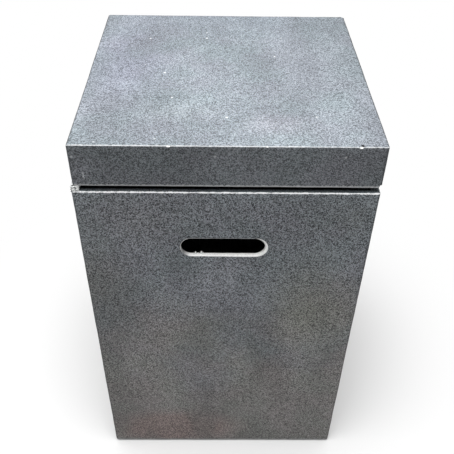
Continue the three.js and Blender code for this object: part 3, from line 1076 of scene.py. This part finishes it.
def add_burrs():
    """Small crumbs of cement left on the lower inner edge of the front slot."""
    sizes = bpy.context.scene.cover_openings
    inner = BODY_LOW.y + bpy.context.scene.cover_shells.wall - sizes.slot_inner_edge
    floor = BODY_HIGH.z - sizes.slot_drop - sizes.slot_height / 2
    made = []
    for index, (share, reach) in enumerate(BURRS):
        place = sizes.slot_offset + (share - 0.5) * sizes.slot_length
        clear_selection()
        bpy.ops.mesh.primitive_cone_add(
            vertices=9, radius1=reach, radius2=reach / 4, depth=reach * 3, location=(place, inner, floor)
        )
        burr = name_new(f"burr_{index}", finish_named("raw_cement"))
        with editing(burr, "VERT"):
            bpy.ops.mesh.select_all(action="SELECT")
            bpy.ops.mesh.subdivide(number_cuts=2)
            jitter(reach / 4, index)
        made.append(burr)
    return made


class COVER_OT_cast_body(bpy.types.Operator):
    """Build the cast body: the walls, slots, hose port and gussets"""

    bl_idname = "cover.cast_body"
    bl_label = "Cast Body"
    bl_options = {"REGISTER", "UNDO"}

    def execute(self, context):
        sizes, gaps = context.scene.cover_shells, context.scene.cover_openings
        inside, raw, stone = map(finish_named, ("sealed_inside", "raw_cement", "body_stone"))
        body = cast_block("body_cast", BODY_LOW, BODY_HIGH, sizes.body_corner, stone)
        mouth = BODY_HIGH.x - sizes.wall
        rim, foot = BODY_HIGH.z, BODY_LOW.z - OVERRUN
        under_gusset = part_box("foot_insert_rear_right")[0].z
        over_gusset = under_gusset + sizes.gusset_height

        def cut_level(name, low, high, corner, steps=5):
            cut_block(body, name, (-mouth, -mouth, low), (mouth, mouth, high), inside, corner, steps)

        cut_level("hollow", over_gusset, rim + OVERRUN, sizes.inner_corner)
        low, high = rim - sizes.rim_edge, rim + sizes.rim_edge
        flare = add_block("rim_flare", (-mouth, -mouth, low), (mouth, mouth, high), stone)
        round_uprights(flare, sizes.inner_corner, steps=5)
        with editing(flare, "FACE"):
            pick(flare, "FACE", lambda face: face.normal.z > FACING)
            grow = 1 + 2 * sizes.rim_edge / mouth
            bpy.ops.transform.resize(value=(grow, grow, 1), center_override=(0, 0, rim))
        combine(body, flare)
        cut_level("between_gussets", foot, over_gusset + OVERRUN, sizes.gusset, steps=1)
        cut_level("foot_recess", foot, under_gusset, sizes.inner_corner)

        combine(body, add_slot_cutter())
        outside, rebate_margin = BODY_HIGH.y + OVERRUN, gaps.edging_lip + gaps.clearance
        cut_arch(body, 0, mouth - OVERRUN, outside, raw)
        cut_arch(body, rebate_margin, BODY_HIGH.y - gaps.rebate, outside, raw)
        stem_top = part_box("foot_stem_rear_right")[1].z
        stem_room = context.scene.cover_hardware.foot_thread + gaps.clearance
        for name in CORNERS:
            low, high, centre = measure(f"foot_insert_{name}")
            insert_room = (high.x - low.x) / 2 + gaps.clearance
            cut_hole(body, insert_room, centre, under_gusset - OVERRUN, high.z + gaps.clearance)
            cut_hole(body, stem_room, centre, under_gusset, stem_top + OVERRUN)
        combine(body, add_edge_chips("body_chips", BODY_LOW, BODY_HIGH, (), seed=5, count=26))
        smooth(body)
        body = join([body, *add_burrs()], "body_cast")
        settle(body, "cover_body", "body_shell")
        return {"FINISHED"}


class COVER_OT_cast_lid(bpy.types.Operator):
    """Build the cast lid: the plate, the skirt and the corner bosses"""

    bl_idname = "cover.cast_lid"
    bl_label = "Cast Lid"
    bl_options = {"REGISTER", "UNDO"}

    def execute(self, context):
        sizes, gaps = context.scene.cover_shells, context.scene.cover_openings
        inside, stone = map(finish_named, ("sealed_inside", "lid_stone"))
        lid = cast_block("lid_cast", LID_LOW, LID_HIGH, LID_CORNERS, stone)
        low = LID_LOW + Vector((sizes.wall, sizes.wall, -OVERRUN))
        high = LID_HIGH - Vector((sizes.wall, sizes.wall, sizes.lid_plate))
        boss_bottom = high.z - sizes.boss_drop
        cut_block(lid, "lid_hollow", low, (high.x, high.y, boss_bottom), inside, sizes.inner_corner)
        for inset in (Vector((sizes.boss, 0, 0)), Vector((0, sizes.boss, 0))):
            cut_block(lid, "lid_arm", low + inset, high - inset, inside)
        for name in CORNERS:
            insert_low, insert_high, centre = measure(f"guide_insert_{name}")
            radius = (insert_high.x - insert_low.x) / 2 + gaps.clearance
            cut_hole(lid, radius, centre, boss_bottom - OVERRUN, insert_high.z + gaps.clearance)
        front_top = (0, 1)
        chips = [(0, front_top, *chip) for chip in LID_CHIPS]
        combine(lid, add_edge_chips("lid_chips", LID_LOW, LID_HIGH, chips, seed=11, count=18))
        corner, out = Vector((LID_HIGH.x, LID_LOW.y, LID_LOW.z)), Vector((1, -1, -1))
        radius, depth = WORN_CORNER
        ball = add_chip("lid_worn_corner", corner, out, Vector([radius] * 3), depth, seed=3, finish=stone)
        combine(lid, ball)
        with editing(lid, "VERT"):
            pick(lid, "VERT", lambda vert: vert.co.z < LID_LOW.z + sizes.edge)
            pivot = (LID_LOW.x, 0, LID_LOW.z)
            turn = -sizes.lid_skew / (LID_HIGH.x - LID_LOW.x)
            bpy.ops.transform.rotate(value=turn, orient_axis="Y", center_override=pivot)
        smooth(lid)
        settle(lid, "lid", "lid_shell")
        return {"FINISHED"}


# The rubber pieces and the hardware.


class COVER_OT_bumpers(bpy.types.Operator):
    """Build the crumb rubber bumpers between the rim and the lid"""

    bl_idname = "cover.bumpers"
    bl_label = "Bumpers"
    bl_options = {"REGISTER", "UNDO"}

    def execute(self, context):
        sizes = context.scene.cover_hardware
        for name in CORNERS:
            low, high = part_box(f"lid_bumper_{name}")
            inner = -math.copysign(sizes.bumper_bulge, low.x)
            block_low, block_high = low + Vector((min(inner, 0), 0, 0)), high + Vector((max(inner, 0), 0, 0))
            bumper = add_block(f"bumper_{name}", block_low, block_high, finish_named("pressed_crumbs"))
            divide(bumper, sizes.bumper_step)
            round_uprights(bumper, sizes.bumper_corner, steps=2)
            roughen(bumper, sizes.crumb_relief, sizes.crumb)
            bumper = join([bumper, *self.loose_crumbs(low, high, sizes.crumb)], bumper.name)
            smooth(bumper, angle=60)
            settle(bumper, "cover_body", f"lid_bumper_{name}")
        return {"FINISHED"}

    def loose_crumbs(self, low, high, crumb):
        """Crumbs that stand out of a bumper's ends and outer side, down to the edge of the rim."""
        draws = random.Random(round(low.x + 2 * low.y, 3))
        out = math.copysign(1, low.x)
        crumbs = []
        for index in range(LOOSE_CRUMBS):
            radius = crumb * draws.uniform(*LOOSE_CRUMB_RADII)
            height = draws.uniform(low.z - crumb * 0.8, high.z - radius)
            at_side = draws.random() < 0.5
            x = (high.x if out > 0 else low.x) if at_side else draws.uniform(low.x, high.x)
            y = draws.uniform(low.y, high.y) if at_side else draws.choice((low.y, high.y))
            if height < low.z + radius / 2:
                x, y = max(abs(x), BODY_HIGH.x - radius / 3) * out, draws.uniform(low.y, high.y)
            clear_selection()
            bpy.ops.mesh.primitive_ico_sphere_add(subdivisions=2, radius=radius, location=(x, y, height))
            lump = name_new(f"crumb_{index}", finish_named("pressed_crumbs"))
            with editing(lump, "VERT"):
                jitter(radius / 4, index)
            crumbs.append(lump)
        return crumbs


class COVER_OT_port_edging(bpy.types.Operator):
    """Build the rubber channel on the edge of the hose port"""

    bl_idname = "cover.port_edging"
    bl_label = "Port Edging"
    bl_options = {"REGISTER", "UNDO"}

    def execute(self, context):
        sizes = context.scene.cover_openings
        port = sizes.port_width / 2
        low, high, centre = measure("hose_port_trim")
        bore = port - sizes.clearance - sizes.edging
        springing = low.z + sizes.port_height - port
        clear_selection()
        bpy.ops.mesh.primitive_plane_add(size=1, location=((bore + high.x) / 2, centre.y, low.z))
        bpy.context.object.scale = (high.x - bore, high.y - low.y, 1)
        edging = name_new("port_edging", finish_named("moulded_rubber"))
        inner_lip, outer_lip = low.y + sizes.edging, high.y - sizes.edging
        web = bore + sizes.edging
        cuts = (((0, inner_lip, 0), (0, 1, 0)), ((0, outer_lip, 0), (0, 1, 0)), ((web, 0, 0), (1, 0, 0)))
        with editing(edging, "FACE"):
            for point, across in cuts:
                bpy.ops.mesh.select_all(action="SELECT")
                bpy.ops.mesh.bisect(plane_co=point, plane_no=across)

            def in_channel(face):
                place = face.calc_center_median()
                return place.x > web and inner_lip < place.y < outer_lip

            pick(edging, "FACE", in_channel)
            bpy.ops.mesh.delete(type="FACE")
            bpy.ops.mesh.select_all(action="SELECT")
            extrude_picked((0, 0, springing - low.z))
            bpy.ops.mesh.spin(steps=40, angle=math.pi, center=(0, 0, springing), axis=(0, 1, 0))
            extrude_picked((0, 0, low.z - springing))
            bpy.ops.mesh.select_all(action="SELECT")
            bpy.ops.mesh.remove_doubles(threshold=MERGED)
            bpy.ops.mesh.normals_make_consistent(inside=False)
        round_edges(edging, sizes.edging_edge, angle=50)
        smooth(edging, angle=50)
        settle(edging, "cover_body", "hose_port_trim")
        return {"FINISHED"}


class COVER_OT_guides(bpy.types.Operator):
    """Finish the nylon guides under the lid and the brass inserts of their screws"""

    bl_idname = "cover.guides"
    bl_label = "Lid Guides"
    bl_options = {"REGISTER", "UNDO"}

    def execute(self, context):
        for name in CORNERS:
            dress(f"lid_guide_{name}", finish_named("moulded_nylon"))
            dress(f"guide_insert_{name}", finish_named("turned_brass"))
        return {"FINISHED"}


def cut_thread(rod, pitch, depth, low, high):
    """Divides a rod's side into rings and presses a screw thread into it between two heights."""
    centre = sum((Vector(corner) for corner in rod.bound_box), Vector()) / 8
    with editing(rod, "EDGE"):
        pick(rod, "EDGE", lambda edge: runs_along(edge, 2))
        bpy.ops.mesh.subdivide(number_cuts=round((high - low) / pitch) * THREAD_RINGS - 1)
    for vert in rod.data.vertices:
        if low < vert.co.z < high:
            away = Vector((vert.co.x - centre.x, vert.co.y - centre.y, 0))
            phase = (vert.co.z / pitch - math.atan2(away.y, away.x) / math.tau) % 1
            vert.co -= away.normalized() * (depth * (1 - abs(2 * phase - 1)))


def hexagon_radius(flats):
    """The radius to a hexagon's corners from its width across the flats."""
    return flats / 2 / math.cos(math.pi / 6)


class COVER_OT_guide_screws(bpy.types.Operator):
    """Build the socket screws that hold the guides"""

    bl_idname = "cover.guide_screws"
    bl_label = "Guide Screws"
    bl_options = {"REGISTER", "UNDO"}

    def execute(self, context):
        sizes = context.scene.cover_hardware
        zinc = finish_named("zinc_plating")
        low, high, centre = measure("guide_screw_rear_right")
        seat = low.z + sizes.screw_head
        head = add_rod("guide_screw", (high.x - low.x) / 2, centre.xy, low.z, seat, zinc)
        with editing(head, "EDGE"):
            pick(head, "EDGE", lambda edge: at_height(edge, low.z))
            bevel_picked(sizes.screw_round, steps=5)
        floor, radius = low.z + sizes.screw_socket_depth, hexagon_radius(sizes.screw_socket)
        combine(head, add_rod("socket", radius, centre.xy, low.z - OVERRUN, floor, zinc, sides=6))
        shank = add_rod("shank", sizes.screw_thread, centre.xy, seat - OVERLAP, high.z, zinc, sides=32)
        start, end = seat + sizes.screw_pitch, high.z - SCREW_TIP
        cut_thread(shank, sizes.screw_pitch, sizes.screw_thread_depth, start, end)
        combine(head, shank, "UNION")
        smooth(head, angle=40)
        for name in CORNERS:
            there = measure(f"guide_screw_{name}")[2]
            screw = copy_to(head, f"socket_screw_{name}", there - centre)
            settle(screw, "lid", f"guide_screw_{name}")
        bpy.data.objects.remove(head)
        return {"FINISHED"}


class COVER_OT_feet(bpy.types.Operator):
    """Build the screw feet: rubber pads and threaded stems in brass inserts"""

    bl_idname = "cover.feet"
    bl_label = "Screw Feet"
    bl_options = {"REGISTER", "UNDO"}

    def execute(self, context):
        stem, pad = self.build_stem(context), self.build_pad(context)
        for name, (side, end) in CORNERS.items():
            turn = math.atan2(end, side) - math.pi / 4
            foot_stem = copy_to(stem, f"threaded_stem_{name}", turn=turn)
            settle(foot_stem, f"foot_{name}", f"foot_stem_{name}")
            foot_pad = copy_to(pad, f"rubber_pad_{name}", turn=turn)
            settle(foot_pad, f"foot_{name}", f"foot_pad_{name}")
            dress(f"foot_insert_{name}", finish_named("turned_brass"))
        bpy.data.objects.remove(stem)
        bpy.data.objects.remove(pad)
        return {"FINISHED"}

    def build_stem(self, context):
        """The stem of the rear right foot: a threaded rod with a hexagon for a spanner."""
        sizes = context.scene.cover_hardware
        zinc = finish_named("zinc_plating")
        low, high, centre = measure("foot_stem_rear_right")
        hexagon_low = low.z + sizes.foot_tail
        hexagon_high = hexagon_low + sizes.foot_hexagon_height
        rod = add_rod("stem", sizes.foot_thread, centre.xy, low.z, high.z, zinc, sides=32)
        start, end = hexagon_high + sizes.foot_pitch / 2, high.z - STEM_TIP
        cut_thread(rod, sizes.foot_pitch, sizes.foot_thread_depth, start, end)
        radius = hexagon_radius(sizes.foot_hexagon)
        hexagon = add_rod("hexagon", radius, centre.xy, hexagon_low, hexagon_high, zinc, sides=6)
        with editing(hexagon, "FACE"):
            pick(hexagon, "FACE", lambda face: abs(face.normal.z) > FACING)
            bevel_picked(sizes.foot_hexagon_edge, steps=2)
        combine(rod, hexagon, "UNION")
        smooth(rod, angle=35)
        return rod

    def build_pad(self, context):
        """The pad of the rear right foot: a low dome with a socket and a grooved sole."""
        sizes, clearance = context.scene.cover_hardware, context.scene.cover_openings.clearance
        low, high, centre = measure("foot_pad_rear_right")
        radius, shoulder = (high.x - low.x) / 2, sizes.pad_shoulder
        top = low.z + sizes.pad_rim
        pad = add_rod("pad", radius, centre.xy, low.z, top, finish_named("moulded_rubber"), sides=64)
        sole = Vector((*centre.xy, low.z))
        land, groove = sizes.pad_land, sizes.pad_groove
        rings = [radius - land * count - groove * (count - 0.5) for count in (1, 2)]

        def in_groove(face):
            reach = (face.calc_center_median() - sole).length
            return face.normal.z < -FACING and any(abs(reach - ring) < groove / 4 for ring in rings)

        with editing(pad, "FACE"):
            pick(pad, "FACE", lambda face: face.normal.z > FACING)
            extrude_picked((0, 0, high.z - top))
            narrow = shoulder / radius
            bpy.ops.transform.resize(value=(narrow, narrow, 1), center_override=(*centre.xy, high.z))
            bpy.ops.mesh.inset(thickness=shoulder - sizes.foot_thread - clearance)
            extrude_picked((0, 0, -sizes.foot_tail))
            pick(pad, "FACE", lambda face: face.normal.z < -FACING)
            for thickness in (land, groove, land, groove):
                bpy.ops.mesh.inset(thickness=thickness)
            pick(pad, "FACE", in_groove)
            extrude_picked((0, 0, sizes.pad_groove_depth))
        round_edges(pad, sizes.pad_edge, angle=35)
        smooth(pad, angle=40)
        return pad


class COVER_OT_stage(bpy.types.Operator):
    """Set up the floor, the light and the camera"""

    bl_idname = "cover.stage"
    bl_label = "Studio"
    bl_options = {"REGISTER", "UNDO"}

    def execute(self, context):
        studio = context.scene.cover_studio
        self.lay_floor(studio)
        self.light_world(context, studio)
        self.hang_lamp(studio)
        self.set_camera(context, studio)
        context.scene.view_settings.view_transform = "Standard"
        return {"FINISHED"}

    def seen_rays(self, tree):
        """1 for what the camera sees, directly, in a gloss or through glass, and 0 for soft light."""
        rays = put("ShaderNodeLightPath", {}, tree).outputs
        seen = sums("ADD", rays["Is Camera Ray"], rays["Is Glossy Ray"], clamp=True)
        return sums("ADD", seen, rays["Is Transmission Ray"], clamp=True)

    def lay_floor(self, studio):
        """A wide pale floor, which turns pure white away from the object where the camera sees it."""
        material, shader, place = new_finish("floor_white", roughness=0.9, specular=0.1)
        tree = material.node_tree
        seen = self.seen_rays(tree)
        tone = blend_colours(seen, studio.floor_felt, studio.floor_seen)
        link(tone, shader.inputs["Base Color"])
        far = spread(from_origin(place), studio.white_from, studio.white_at)
        far = times(far, seen)
        white = put("ShaderNodeEmission", {"Color": (1, 1, 1, 1), "Strength": 1.0}, tree)
        both = put("ShaderNodeMixShader", {0: far, 1: shader.outputs[0], 2: white.outputs[0]})
        link(both.outputs[0], tree.nodes["Material Output"].inputs["Surface"])
        material.cycles.emission_sampling = "NONE"
        clear_selection()
        bpy.ops.mesh.primitive_plane_add(size=studio.floor_width)
        name_new("floor", material)

    def light_world(self, context, studio):
        """A soft light from all round, stronger from above, which the camera sees as white."""
        world = bpy.data.worlds.new("studio")
        context.scene.world = world
        world.use_nodes = True
        tree = world.node_tree
        soft = tree.nodes["Background"]
        soft.inputs["Color"].default_value = (1, 1, 1, 1)
        direction = put("ShaderNodeTexCoord", {}, tree).outputs["Generated"]
        height = split(direction)[2]
        strength = spread(height, 0.0, 1.0, studio.fill_aside, studio.fill_above)
        link(strength, soft.inputs["Strength"])
        white = put("ShaderNodeBackground", {"Color": (1, 1, 1, 1), "Strength": 1.0}, tree)
        seen = self.seen_rays(tree)
        both = put("ShaderNodeMixShader", {0: seen, 1: soft.outputs[0], 2: white.outputs[0]})
        link(both.outputs[0], tree.nodes["World Output"].inputs["Surface"])

    def hang_lamp(self, studio):
        """A wide soft lamp overhead, turned towards the object."""
        data = bpy.data.lights.new("overhead_soft_light", "AREA")
        data.shape = "DISK"
        data.size = studio.lamp_width
        data.energy = studio.lamp_power
        lamp = bpy.data.objects.new(data.name, data)
        bpy.context.scene.collection.objects.link(lamp)
        lamp.location = studio.lamp_place
        target = (BODY_LOW + LID_HIGH) / 2
        lamp.rotation_mode = "QUATERNION"
        lamp.rotation_quaternion = (target - lamp.location).to_track_quat("-Z", "Y")

    def set_camera(self, context, studio):
        """The camera, placed as for the photograph."""
        data = bpy.data.cameras.new("photo_camera")
        data.lens = studio.camera_lens
        data.clip_end = studio.floor_width * 2
        camera = bpy.data.objects.new(data.name, data)
        context.scene.collection.objects.link(camera)
        camera.location = studio.camera_place
        camera.rotation_euler = studio.camera_turn
        context.scene.camera = camera


class COVER_PT_panel(bpy.types.Panel):
    """The cover's sizes and the steps that build it"""

    bl_idname = "COVER_PT_panel"
    bl_label = "Gas Cylinder Cover"
    bl_space_type = "VIEW_3D"
    bl_region_type = "UI"
    bl_category = "Cover Table"

    def draw(self, context):
        for step in STEPS:
            self.layout.operator(step.bl_idname)
        for group in GROUPS:
            box = self.layout.box()
            box.label(text=group)
            values = getattr(context.scene, group)
            for key in values.__annotations__:
                box.prop(values, key)


GROUPS = {
    "cover_shells": CoverShellSizes,
    "cover_openings": CoverOpeningSizes,
    "cover_hardware": CoverHardwareSizes,
    "cover_finish": CoverFinish,
    "cover_studio": CoverStudio,
}
STEPS = (
    COVER_OT_cast_body,
    COVER_OT_cast_lid,
    COVER_OT_bumpers,
    COVER_OT_port_edging,
    COVER_OT_guides,
    COVER_OT_guide_screws,
    COVER_OT_feet,
    COVER_OT_stage,
)


def register():
    """Registers the sizes, the operators and the panel."""
    for name, group in GROUPS.items():
        bpy.utils.register_class(group)
        setattr(bpy.types.Scene, name, bpy.props.PointerProperty(type=group))
    for item in (*STEPS, COVER_PT_panel):
        bpy.utils.register_class(item)


def unregister():
    """Removes what register added."""
    for item in (COVER_PT_panel, *reversed(STEPS)):
        bpy.utils.unregister_class(item)
    for name, group in GROUPS.items():
        delattr(bpy.types.Scene, name)
        bpy.utils.unregister_class(group)


def main():
    """Builds every piece and the studio."""
    register()
    for step in STEPS:
        group, name = step.bl_idname.split(".")
        getattr(getattr(bpy.ops, group), name)()


if __name__ == "__main__":
    main()
